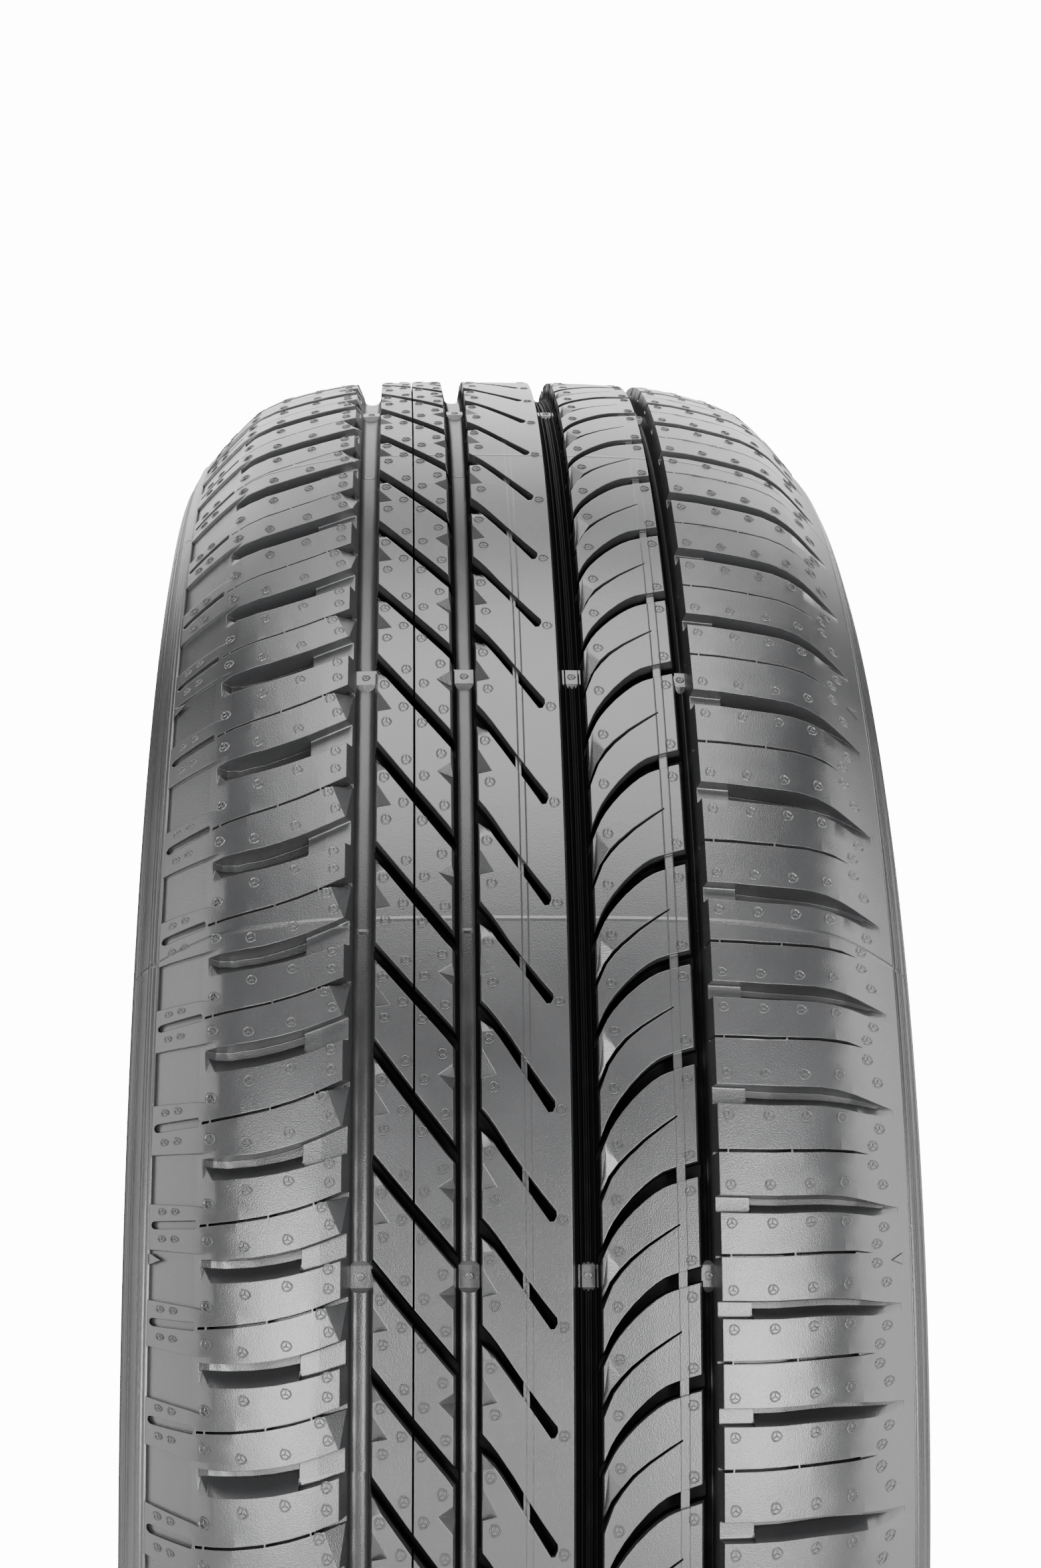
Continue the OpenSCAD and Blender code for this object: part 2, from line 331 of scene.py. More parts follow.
def trench(name, upper, lower, floors, share, lean, rounding=0.0, steady=False):
    """A cutter between an upper and a lower edge with the same number of places. Its floor has
    one height for each pair of them, and its lower wall leans back towards the lower edge: less
    where the floor is shallow, unless the lean is steady."""
    full_lean_depth = -6.5
    places, faces, floor_edges = [], [], set()
    n = len(upper)
    bottom = [(x, y + lean * (1.0 if steady else min(z / full_lean_depth, 1.0)))
              for (x, y), z in zip(lower, floors)]
    rows = ((upper, floors), (bottom, floors), (lower, [0.0] * n), (lower, [ABOVE] * n),
            (upper, [ABOVE] * n))
    for k in CUTTER_PITCHES:
        start = len(places)
        shift = (k + share) * PITCH
        for row, heights in rows:
            places += [(x, y + shift, z) for (x, y), z in zip(row, heights)]
        for i in range(n - 1):
            for row in range(len(rows)):
                a, b = start + n * row + i, start + n * ((row + 1) % len(rows)) + i
                faces.append([a, b, b + 1, a + 1])
            floor_edges.update({(start + i, start + i + 1), (start + n + i, start + n + i + 1)})
        for i in (0, n - 1):
            faces.append([start + n * row + i for row in range(len(rows))])
    piece = mesh_piece(name, places, faces)
    point_outwards(piece)
    if rounding:
        round_edges(piece, floor_edges, rounding)
    return piece


def facet_cutter(name, a, b, c, depth, share):
    """A corner facet: it leaves the tread along the line from a to b and is deepest at c."""
    past = 0.02
    beyond = (c[0] + (c[0] - (a[0] + b[0]) / 2) * past, c[1] + (c[1] - (a[1] + b[1]) / 2) * past)
    return prisms(name, [a, b, beyond], [0.0, 0.0, -depth], share)


def cut_away(piece, cutter):
    """Takes the cutter out of the piece, then deletes it."""
    make_active(piece)
    cut = piece.modifiers.new("cut", "BOOLEAN")
    cut.operation = "DIFFERENCE"
    cut.solver = "EXACT"
    cut.object = cutter
    bpy.ops.object.modifier_apply(modifier=cut.name)
    bpy.data.objects.remove(cutter, do_unlink=True)


def band(upper, lower):
    """A closed outline from two edges that run the same way."""
    return list(upper) + list(reversed(lower))


def sipe_band(line, width):
    """A closed outline of one width along a line."""
    return band([(x, y + width / 2) for x, y in line], [(x, y - width / 2) for x, y in line])


def cut_sipe(slab, line, width, depth, share, bridges):
    """A thin sipe along a line of places, with tiny bridges left across it where the mould's
    blade has holes."""
    half_bridge = 0.25
    stops = [line[0][0]]
    for at in bridges:
        stops += [at - half_bridge, at + half_bridge]
    stops.append(line[-1][0])
    for start, stop in zip(stops[::2], stops[1::2]):
        inside = [p for p in line if min(start, stop) < p[0] < max(start, stop)]
        part = [(start, height_on(line, start)), *inside, (stop, height_on(line, stop))]
        cut_away(slab, prisms("sipe", sipe_band(part, width), -depth, share))


def height_on(line, x):
    """How far along the pitch a line of places is at a place across it."""
    for (x0, y0), (x1, y1) in zip(line, line[1:]):
        if min(x0, x1) <= x <= max(x0, x1):
            return mix(y0, y1, (x - x0) / (x1 - x0))
    return line[-1][1]


def groove_profile(left, right, depth, ribbed=False, left_lean=1.2, right_lean=0.35):
    """One main groove in the section, from its left lip to its right one. Its floor is a round
    trough, or carries low ridges that run along it."""
    low = -depth
    width = right - left
    profile = [(left - left_lean, 0.0), (left - left_lean * 0.1, low * 0.55), (left + 0.1, low + 2.6)]
    if ribbed:
        profile.append((left + 0.35, low + 1.9))
        for k in range(4):
            at = left + width * (0.14 + 0.205 * k)
            foot = low + (1.2 if k in (0, 3) else 0.5)
            crest = foot + 0.55
            profile += [(at, foot), (at + width * 0.04, crest), (at + width * 0.09, crest),
                        (at + width * 0.13, foot)]
        profile.append((right - 0.35, low + 1.9))
    else:
        profile += bend((left + 0.25, low + 1.9), (left + 0.7, low + 0.1), (left + width * 0.4, low), 4)
        profile += bend((right - width * 0.4, low), (right - 0.7, low + 0.1), (right - 0.25, low + 1.9), 4)
    profile += [(right - 0.1, low + 2.6), (right, low * 0.5), (right + right_lean, 0.0)]
    return profile


def flat_slab(sizes):
    """Three pitches of the tread's section, laid flat, with the four main grooves."""
    outer, outer_middle, inner_middle, inner = MAIN_GROOVES
    section = [(-SLAB_EDGE, 0.0)]
    depth = sizes.groove_depth
    section += groove_profile(*outer, depth, left_lean=2.1)
    section += groove_profile(*outer_middle, depth)
    section += groove_profile(*inner_middle, depth, ribbed=True)
    section += groove_profile(*inner, depth, right_lean=1.1)
    section += [(SLAB_EDGE, 0.0), (SLAB_EDGE, -SLAB_DEPTH), (-SLAB_EDGE, -SLAB_DEPTH)]
    n = len(section)
    places = [(x, -PITCH, z) for x, z in section] + [(x, 2 * PITCH, z) for x, z in section]
    faces = [list(range(n)), list(range(n, 2 * n))]
    faces += [[i, (i + 1) % n, n + (i + 1) % n, n + i] for i in range(n)]
    slab = mesh_piece("tread_flat", places, faces)
    point_outwards(slab)
    return slab


def cut_first_rib(slab, sizes):
    """Outer shoulder: wide groove with a raised floor at its inner end, sipe and corner facet."""
    deep, tie = -sizes.cross_depth, -sizes.tie_depth
    upper = [(-62.7, -3.9), (-69.5, -5.9), (-76.0, -7.5), (-83.0, -8.8), (-87.0, -9.4), (-90.0, -9.9)]
    lower = [(-62.7, -10.8), (-69.5, -12.7), (-76.0, -14.2), (-83.0, -15.5), (-87.0, -16.0), (-90.0, -16.4)]
    floors = [deep, deep, deep, deep * 0.9, deep * 0.6, -0.5]
    cut_away(slab, trench("wide", upper, lower, floors, RIB1, lean=4.5, steady=True))
    upper = [(-45.0, 2.6), (-52.0, 0.0), (-57.5, -2.1), (-62.9, -3.96)]
    lower = [(-45.0, -5.0), (-52.0, -7.5), (-57.5, -9.3), (-62.9, -10.86)]
    cut_away(slab, trench("tie", upper, lower, [tie] * 4, RIB1, lean=0.8, rounding=0.6))
    line = [(-90.2, -0.2), (-80.9, 1.9), (-71.8, 4.3), (-65.0, 6.4), (-58.5, 8.6)]
    cut_sipe(slab, line, sizes.sipe_width, sizes.sipe_depth, RIB1, (-88.0, -71.7, -59.5))
    mouth = [(-58.4, 8.98), (-53.0, 11.1), (-46.0, 13.6), (-46.0, 12.0), (-53.0, 9.8), (-58.4, 8.24)]
    cut_away(slab, prisms("mouth", mouth, -sizes.sipe_depth, RIB1))
    cut_away(slab, facet_cutter("facet", (-56.3, 9.2), (-52.2, -0.6), (-48.6, 10.8),
                                sizes.facet_depth * 1.25, RIB1))


def cut_outer_band(slab, sizes):
    """Outside the first rib: flat panels between raised pads, and a round-ended slot in each pad."""
    low = -sizes.panel_depth
    upper, lower = 5.4 - PITCH, -8.3
    inner = [(-91.6, upper), (-91.6, lower), (-86.4, lower + 0.6), (-86.4, upper - 0.4)]
    cut_away(slab, prisms("blend", inner, [low, low, 0.02, 0.02], RIB1))
    panel = [(-91.5, upper), (-91.5, lower), (-104.3, lower - 0.4), (-105.3, lower - 0.4),
             (-105.3, upper - 0.1), (-104.3, upper - 0.1)]
    cut_away(slab, prisms("panel", panel, low, RIB1))
    slot = [(-91.2, -1.1), (-90.9, 0.2), (-91.3, 1.3)]
    slot += [(-102.6 + 1.2 * math.cos(a), -1.1 + 1.2 * math.sin(a))
             for a in (math.radians(90 + 22.5 * k) for k in range(9))]
    floor = [-sizes.slot_depth * 0.8] * 3 + [-sizes.slot_depth * 0.6] * 9
    cut_away(slab, prisms("slot", slot, floor, RIB1))


def cut_second_rib(slab, sizes):
    """Slanting groove right across, ring sipe, corner facets and the two-sided right notch."""
    upper = [(-45.4, 2.4), (-43.4, 0.0), (-38.0, -6.8), (-32.5, -13.6), (-26.4, -20.8), (-20.2, -28.2),
             (-17.4, -31.6)]
    lower = [(x, y - 5.6) for x, y in upper]
    floors = [-sizes.cross_depth] * len(upper)
    cut_away(slab, trench("slant", upper, lower, floors, RIB2, lean=2.2, rounding=0.8))
    cut_away(slab, facet_cutter("corner", (-40.2, -8.6), (-43.9, -9.9), (-44.4, -4.2), 3.2, RIB2))
    cut_away(slab, facet_cutter("left_notch", (-39.1, -19.4), (-43.6, -12.6), (-44.0, -20.1), 3.4, RIB2))
    tip, valley = (-25.8, -9.7), (-20.0, -9.9)
    cut_away(slab, facet_cutter("notch_upper", tip, (-21.4, -6.9), valley, 3.8, RIB2))
    cut_away(slab, facet_cutter("notch_lower", tip, (-21.2, -14.6), valley, 3.8, RIB2))
    ring = [(-32.7, -2 * PITCH), (-32.15, -2 * PITCH), (-32.15, 3 * PITCH), (-32.7, 3 * PITCH)]
    cut_away(slab, prisms("ring", ring, -sizes.sipe_depth, 0.0, pitches=range(1)))


def cut_third_rib(slab, sizes):
    """Slanting blind groove that starts wide, crossed by a low tie, with facets on the left edge."""
    deep = -sizes.cross_depth
    upper = [(-15.6, 1.0), (-14.4, 0.0), (-12.0, -2.8), (-9.9, -5.6), (-6.4, -10.8), (-3.0, -15.8)]
    lower = [(-15.6, -5.4), (-14.4, -6.4), (-12.4, -8.0), (-10.6, -9.6), (-6.8, -14.9), (-3.0, -20.4)]
    floors = [deep] * len(upper)
    cut_away(slab, trench("slant", upper, lower, floors, RIB3, lean=1.8, rounding=0.7))
    tie = [(-3.1, -15.7), (-1.2, -18.3), (-1.2, -22.9), (-3.1, -20.3)]
    cut_away(slab, prisms("tie", tie, -1.3, RIB3))
    end = [(-1.3, -18.15), (2.3, -23.1), (6.1, -28.0), (6.2, -29.4), (5.4, -30.9), (4.3, -31.0),
           (1.5, -26.9), (-1.3, -22.8)]
    floor = [deep, deep, deep * 0.9, deep * 0.75, deep * 0.75, deep * 0.9, deep, deep]
    cut_away(slab, prisms("end", end, floor, RIB3, rounding=0.5))
    cut_away(slab, facet_cutter("corner", (-10.7, -9.8), (-14.6, -10.2), (-15.0, -4.6), 3.2, RIB3))
    cut_away(slab, facet_cutter("notch", (-9.9, -21.3), (-14.6, -13.4), (-14.9, -22.4), 3.4, RIB3))


def cut_fourth_rib(slab, sizes):
    """Wide groove that sweeps up to the right, a thin sipe beside it and one large facet."""
    upper = [(39.1, 0.1), (37.3, -0.5), (35.3, -1.3), (32.8, -2.9), (30.1, -5.1), (26.8, -8.35),
             (23.8, -11.9), (21.6, -15.0), (20.2, -17.5), (18.9, -20.5), (17.0, -25.4)]
    lower = [(39.1, -4.45), (37.3, -5.05), (35.5, -5.8), (33.0, -7.3), (30.3, -9.4), (27.3, -12.1),
             (24.7, -14.9), (22.6, -17.5), (21.1, -19.8), (19.8, -22.4), (17.0, -28.8)]
    floors = [-sizes.cross_depth] * len(upper)
    cut_away(slab, trench("sweep", upper, lower, floors, RIB4, lean=0.4, rounding=0.45))
    bridge = [(38.9, 0.05), (41.7, 0.85), (41.7, -3.7), (38.9, -4.4)]
    cut_away(slab, prisms("bridge", bridge, -1.1, RIB4))
    upper = [(48.0, 2.6), (45.0, 1.8), (41.5, 0.8)]
    lower = [(48.0, -1.9), (45.0, -2.7), (41.5, -3.65)]
    cut_away(slab, trench("mouth", upper, lower, floors[:3], RIB4, lean=0.4, rounding=0.45))
    upper = [(39.6, -15.7), (36.0, -17.9), (30.5, -21.6), (25.9, -25.3), (23.0, -28.3), (20.5, -31.6),
             (18.6, -36.0), (16.8, -40.5)]
    lower = [(39.6, -16.2), (36.2, -18.5), (30.8, -22.3), (26.3, -26.2), (23.6, -29.2), (21.2, -32.5),
             (19.4, -36.8), (17.6, -41.4)]
    cut_away(slab, prisms("sipe", band(upper, lower), -sizes.sipe_depth, RIB4))
    cut_away(slab, facet_cutter("facet", (19.8, -23.0), (23.5, -28.4), (17.8, -38.6), 4.6, RIB4))


def cut_fifth_rib(slab, sizes):
    """Inner shoulder: nearly straight groove with a raised floor at its start, and a thin sipe."""
    deep = -sizes.cross_depth
    upper, lower = [(48.0, 0.0), (59.3, -0.1)], [(48.0, -5.0), (59.3, -5.1)]
    floors = [-sizes.tie_depth] * 2
    cut_away(slab, trench("tie", upper, lower, floors, RIB5, lean=0.8, rounding=0.5))
    upper = [(59.2, -0.1), (67.8, -0.3), (75.0, -0.6), (80.0, -1.0), (85.0, -1.9), (90.0, -3.2),
             (95.5, -4.8), (101.0, -6.3)]
    lower = [(59.2, -5.1), (67.8, -5.3), (75.0, -5.5), (80.0, -5.9), (85.0, -6.7), (90.0, -7.7),
             (95.5, -8.9), (101.0, -9.6)]
    floors = [deep, deep, deep, deep * 0.97, deep * 0.85, deep * 0.58, deep * 0.27, -0.05]
    cut_away(slab, trench("wide", upper, lower, floors, RIB5, lean=3.1, steady=True))
    line = [(48.0, -16.9), (60.0, -16.8), (71.0, -16.9), (80.0, -17.4), (88.3, -18.3)]
    cut_sipe(slab, line, sizes.sipe_width + 0.1, sizes.sipe_depth, RIB5, (53.4, 71.2))
    end = [(88.2, -17.92), (92.8, -19.05), (88.2, -18.7)]
    cut_away(slab, prisms("sipe_end", end, [-3.0, -0.2, -3.0], RIB5))


def one_pitch(slab):
    """Cuts the flat slab back to one pitch and slices it, so that it can follow the round crown."""
    shape = bmesh.new()
    shape.from_mesh(slab.data)

    def slice_at(place, normal, inner=False, outer=False):
        geometry = shape.verts[:] + shape.edges[:] + shape.faces[:]
        bmesh.ops.bisect_plane(shape, geom=geometry, dist=1e-5, plane_co=place, plane_no=normal,
                               clear_inner=inner, clear_outer=outer)

    slice_at((0, 0, 0), (0, 1, 0), inner=True)
    slice_at((0, PITCH, 0), (0, 1, 0), outer=True)
    for k in range(1, SLICES_ALONG):
        slice_at((0, k * PITCH / SLICES_ALONG, 0), (0, 1, 0))
    for x in SLICES_ACROSS:
        slice_at((x, 0, 0), (1, 0, 0))
        slice_at((-x, 0, 0), (1, 0, 0))
    hidden = [f for f in shape.faces if all(v.co.z < 1.0 - SLAB_DEPTH for v in f.verts)]
    bmesh.ops.delete(shape, geom=hidden, context="FACES")
    bmesh.ops.triangulate(shape, faces=shape.faces[:])
    shape.to_mesh(slab.data)
    shape.free()


def groove_shade_strength(x):
    """How strongly depth brings in the painted groove shade: most in the narrow grooves of the middle
    ribs, less on the round floors of the two outer main grooves and in the open shoulder grooves."""
    if any(left + 0.8 < x < right - 0.7 for left, right in MAIN_GROOVES[:2]):
        return 0.6
    return 1.7 if MIDDLE_RIBS[0] < x < MIDDLE_RIBS[1] else 0.72


def wrapped_copies(name, pattern, first, last, welded, shade=1.0):
    """One piece of the tyre: the flat pattern wrapped onto the pitches from first to last. Its
    depth is kept as an attribute, times the shade, and paints shade into the rubber."""
    angles = pitch_angles()
    shape = bmesh.new()
    depth = shape.verts.layers.float.new("depth")
    for index in range(first, last):
        start, length = angles[index % len(angles)]
        before = len(shape.verts)
        shape.from_mesh(pattern.data)
        shape.verts.ensure_lookup_table()
        for vertex in shape.verts[before:]:
            vertex[depth] = max(0.0, -vertex.co.z * shade) * groove_shade_strength(vertex.co.x)
            angle = start + length * vertex.co.y / PITCH
            vertex.co = wrapped(vertex.co, angle)
    if welded:
        bmesh.ops.remove_doubles(shape, verts=shape.verts[:], dist=0.01 * MM)
    mesh = bpy.data.meshes.new(name)
    shape.to_mesh(mesh)
    shape.free()
    return piece_from(mesh)


def smooth_by_angle(piece, degrees):
    """Smooths the shallow edges; wide faces keep their direction beside narrow rounded ones."""
    make_active(piece)
    bpy.ops.object.shade_smooth_by_angle(angle=math.radians(degrees))
    weighted = piece.modifiers.new("weighted", "WEIGHTED_NORMAL")
    weighted.keep_sharp = True
    weighted.weight = 80
    bpy.ops.object.modifier_apply(modifier=weighted.name)


class Socket:
    """Wraps a node's output so that shader maths is written as Python."""

    def __init__(self, nodes, output):
        self.nodes = nodes
        self.output = output

    def beside(self, name):
        """Another output of the same node."""
        return Socket(self.nodes, self.output.node.outputs[name])

    def _math(self, operation, *operands):
        return self.nodes.add("ShaderNodeMath", {"operation": operation}, dict(enumerate(operands)))

    def __add__(self, other):
        return self._math("ADD", self, other)

    def __radd__(self, other):
        return self._math("ADD", other, self)

    def __sub__(self, other):
        return self._math("SUBTRACT", self, other)

    def __rsub__(self, other):
        return self._math("SUBTRACT", other, self)

    def __mul__(self, other):
        return self._math("MULTIPLY", self, other)

    def __rmul__(self, other):
        return self._math("MULTIPLY", other, self)

    def __abs__(self):
        return self._math("ABSOLUTE", self)

    def angle_from(self, across):
        return self._math("ARCTAN2", self, across)

    def back_and_forth(self, span):
        return self._math("PINGPONG", self, span)


class Nodes:
    """A node tree, and the one way to add a node to it."""

    def __init__(self, tree):
        self.tree = tree

    def add(self, kind, settings=None, inputs=None, output=0):
        """Adds a node, makes its settings, feeds its inputs and gives one of its outputs."""
        node = self.tree.nodes.new(kind)
        for key, value in (settings or {}).items():
            if key == "stops":
                for element, (position, level) in zip(node.color_ramp.elements, value):
                    element.position = position
                    element.color = (level, level, level, 1.0)
            else:
                setattr(node, key, value)
        for key, value in (inputs or {}).items():
            self.feed(node.inputs[key], value)
        return Socket(self, node.outputs[output])

    def feed(self, slot, value):
        """Links a socket to an input, or sets the input to a number or a colour."""
        if isinstance(value, Socket):
            self.tree.links.new(value.output, slot)
        else:
            slot.default_value = value

    def ramp(self, factor, *stops):
        """A grey ramp between two stops, each a place and a level."""
        return self.add("ShaderNodeValToRGB", {"stops": stops}, {0: factor})


class Finish(Nodes):
    """The nodes of one new material, with its main shader."""

    def __init__(self, name):
        self.material = bpy.data.materials.new(name)
        self.material.use_nodes = True
        super().__init__(self.material.node_tree)
        self.shader = self.tree.nodes["Principled BSDF"]

    def set(self, **values):
        """Feeds the main shader's inputs, named with an underscore for each space."""
        for key, value in values.items():
            self.feed(self.shader.inputs[key.replace("_", " ")], value)


def rubber_finish():
    """Dull black rubber straight from the mould: fine grain, cloudy changes of gloss, painted shade
    down in the grooves where it stands in for their shadow, and the mould's faint parting lines."""
    if "tyre_rubber" in bpy.data.materials:
        return bpy.data.materials["tyre_rubber"]
    colours = bpy.context.scene.tyre_colours
    finish = Finish("tyre_rubber")
    place = finish.add("ShaderNodeTexCoord", output="Object")
    noise = "ShaderNodeTexNoise"
    clouds = finish.add(noise, inputs={"Vector": place, "Scale": 30.0, "Detail": 3.0})
    grain = finish.add(noise, inputs={"Vector": place, "Scale": 3000.0, "Detail": 2.0})
    pores = finish.add(noise, inputs={"Vector": place, "Scale": 1500.0, "Detail": 2.0})
    cloudy = finish.ramp(clouds, (0.3, 0.0), (0.7, 1.0))
    # The inputs 6 and 7 of this node, and its output 2, are the two colours and their mixture.
    base = finish.add("ShaderNodeMix", {"data_type": "RGBA"},
                      {"Factor": cloudy * 0.5 + grain * 0.3,
                       6: (*colours.rubber, 1.0),
                       7: (*[level * 1.5 for level in colours.rubber], 1.0)}, output=2)

    def bump(height, normal, strength, distance):
        return finish.add("ShaderNodeBump", inputs={"Height": height, "Normal": normal,
                                                    "Strength": strength, "Distance": distance * MM})

    rounded = finish.add("ShaderNodeBevel", {"samples": 6}, {"Radius": 0.35 * MM})
    lined = bump(mould_lines(finish, place), rounded, 0.6, 0.25)
    coarse = bump(pores, lined, 0.3, 0.08)
    fine = bump(grain, coarse, 0.8, 0.06)
    finish.set(Base_Color=base, Roughness=0.28 + clouds * 0.1, Normal=fine, Specular_IOR_Level=0.5)

    # Painted shade in the grooves: a near-black, dull mix, from 4 to 6 mm of shaded depth.
    depth = finish.add("ShaderNodeAttribute", {"attribute_name": "depth"}, output="Fac")
    sunk = finish.ramp(depth * 0.1, (0.4, 0.0), (0.6, 1.0))
    painted_groove_shade = finish.add("ShaderNodeBsdfPrincipled", inputs={
        "Base Color": (*colours.groove, 1.0), "Roughness": 0.6, "Specular IOR Level": 0.03})
    main = Socket(finish, finish.shader.outputs["BSDF"])
    both = finish.add("ShaderNodeMixShader", inputs={0: sunk, 1: main, 2: painted_groove_shade})
    finish.feed(finish.tree.nodes["Material Output"].inputs["Surface"], both)
    return finish.material


def mould_lines(finish, place):
    """Height of the faint lines: where the mould's segments meet, and round the ribs. The
    widths are shares of a segment and of 2 mm."""
    x = finish.add("ShaderNodeSeparateXYZ", inputs={"Vector": place}, output="X")
    y, z = x.beside("Y"), x.beside("Z")
    segment = math.radians(SEGMENT_ANGLE)
    turn = z.angle_from(x) - math.radians(FIRST_PARTING_LINE)
    past = turn.back_and_forth(segment / 2)
    seam_width, ring_width = 0.0016, 0.12
    height = finish.ramp(past * (1.0 / segment), (0.0, 1.0), (seam_width, 0.0))
    for at in RING_LINES:
        away = abs(y - at * MM)
        height = height + finish.ramp(away * (1.0 / (2.0 * MM)), (0.0, 1.0), (ring_width, 0.0))
    return height


def dress(piece, smooth_below):
    """Smooths a piece up to an angle, gives it the rubber, and ties it to the frame."""
    smooth_by_angle(piece, smooth_below)
    piece.data.materials.append(rubber_finish())
    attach(piece, "root")


class TYRE_OT_tread(Operator):
    """Models one pitch of the tread flat and wraps it round the crown"""

    bl_idname = "tyre.tread"
    bl_label = "Tread"

    def execute(self, context):
        sizes = context.scene.tyre_sizes
        slab = flat_slab(sizes)
        cut_first_rib(slab, sizes)
        cut_outer_band(slab, sizes)
        cut_second_rib(slab, sizes)
        cut_third_rib(slab, sizes)
        cut_fourth_rib(slab, sizes)
        cut_fifth_rib(slab, sizes)
        one_pitch(slab)
        for first in range(0, len(PITCH_ORDER), PITCHES_PER_PIECE):
            piece = wrapped_copies(f"tread_{first // PITCHES_PER_PIECE + 1}", slab, first,
                                   first + PITCHES_PER_PIECE, welded=True)
            dress(piece, smooth_below=28)
            if first == 0:
                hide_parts("tyre")
        bpy.data.objects.remove(slab, do_unlink=True)
        return {"FINISHED"}


# Places of the vent marks in one pitch, [across, along], for each rib's part of the pattern.
VENT_MARKS = {
    RIB1: ((-55.3, 14.1), (-66.4, 14.6), (-77.6, 11.3), (-88.0, 6.3), (-57.3, 7.2), (-55.1, 2.4),
           (-66.4, -1.7), (-78.1, -4.7), (-88.0, -4.3), (-55.4, -9.8)),
    RIB2: ((-41.2, -11.2), (-40.6, -23.4), (-35.6, -18.7), (-34.8, -6.1), (-29.6, -11.0),
           (-24.6, -4.4), (-23.8, -19.7), (-30.2, -24.0)),
    RIB3: ((-11.8, -12.1), (-10.6, -24.6), (7.9, -30.4)),
    RIB4: ((22.4, -9.2), (22.9, -23.4), (42.6, 3.4), (42.6, -6.6)),
    RIB5: ((53.8, -7.9), (65.1, -7.9), (75.7, -8.2), (85.6, -9.0), (53.8, -26.4), (64.8, -26.3),
           (75.7, -26.6), (85.6, -26.9), (96.6, -11.9), (94.3, -16.7), (94.1, -22.3), (96.8, -28.3)),
}
# Smaller marks on the pads outside the first rib.
SMALL_MARKS = ((-100.9, 3.1), (-97.2, 3.4), (-100.8, -5.1), (-97.2, -4.8))
SMALL_MARK_SHARE = 0.72
WEAR_MARK_RADIUS = 1.3
# The feet of the marks are sunk only a little, so their depth counts this many times over and
# paints shade round each mark's rim.
MARK_SHADE = 100.0


def vent_mark(places, faces, y, along, radius):
    """Adds a low round rim with a three-armed ridge inside, as a mould vent leaves it."""
    sides = 9
    crest, sunk = 0.26, -0.05
    start = len(places)
    for share, height in ((1.0, sunk), (0.84, crest), (0.64, sunk)):
        for k in range(sides):
            angle = 2 * math.pi * k / sides
            lobe = 1.0 + 0.07 * math.cos(3 * angle)
            places.append((y + radius * share * lobe * math.cos(angle),
                           along + radius * share * lobe * math.sin(angle), height))
    for ring in range(2):
        for k in range(sides):
            a = start + ring * sides + k
            b = start + ring * sides + (k + 1) % sides
            faces.append((a, b, b + sides, a + sides))
    middle = len(places)
    places.append((y, along, crest * 0.9))
    for arm in range(3):
        angle = math.pi / 2 + arm * 2 * math.pi / 3
        out = Vector((math.cos(angle), math.sin(angle)))
        side = Vector((-out.y, out.x)) * radius * 0.13
        tip = Vector((y, along)) + out * radius * 0.55
        root = Vector((y, along)) + out * radius * 0.07
        at = len(places)
        places.extend([(*(root + side), sunk), (*(tip + side), sunk), (*tip, crest * 0.5),
                       (*(tip - side), sunk), (*(root - side), sunk)])
        faces.append((at, middle, at + 2, at + 1))
        faces.append((middle, at + 4, at + 3, at + 2))
        faces.append((at + 1, at + 2, at + 3))


class TYRE_OT_vent_marks(Operator):
    """Scatters the mould's vent marks over the ribs at their places in each pitch"""

    bl_idname = "tyre.vent_marks"
    bl_label = "Vent marks"

    def execute(self, context):
        radius = context.scene.tyre_sizes.vent_mark_radius
        places, faces = [], []
        for share, marks in VENT_MARKS.items():
            for y, along in marks:
                vent_mark(places, faces, y, (along + share * PITCH) % PITCH, radius)
        for y, along in SMALL_MARKS:
            vent_mark(places, faces, y, (along + RIB1 * PITCH) % PITCH, radius * SMALL_MARK_SHARE)
        pattern = mesh_piece("marks_flat", places, faces)
        make_active(pattern)
        half = len(PITCH_ORDER) // 2
        for name, first in (("vent_marks_front", 0), ("vent_marks_back", half)):
            piece = wrapped_copies(name, pattern, first, first + half, welded=False,
                                   shade=MARK_SHADE)
            dress(piece, smooth_below=50)
        bpy.data.objects.remove(pattern, do_unlink=True)
        return {"FINISHED"}


def wear_bar(places, faces, left, right, sizes, angle):
    """One wear bar: a small block across a groove's floor, with a low round mark on it."""
    half_top, half_foot = 3.0, 4.6
    top = -sizes.groove_depth + WEAR_BAR_HEIGHT
    foot = -sizes.groove_depth - 0.2
    start = len(places)
    places.extend(wrapped((y, 0.0, z), angle + along / CROWN_RADIUS)
                  for along, z in ((-half_foot, foot), (-half_top, top), (half_top, top), (half_foot, foot))
                  for y in (left - 0.1, right + 0.1))
    faces.extend([start + i, start + i + 1, start + i + 3, start + i + 2] for i in (0, 2, 4))
    faces.extend([[start, start + 2, start + 4, start + 6], [start + 7, start + 5, start + 3, start + 1]])
    mark_places, mark_faces = [], []
    vent_mark(mark_places, mark_faces, (left + right) / 2, 0.0, WEAR_MARK_RADIUS)
    start = len(places)
    places.extend(wrapped((y, 0.0, top + z), angle + along / CROWN_RADIUS)
                  for y, along, z in mark_places)
    faces.extend([[start + i for i in face] for face in mark_faces])


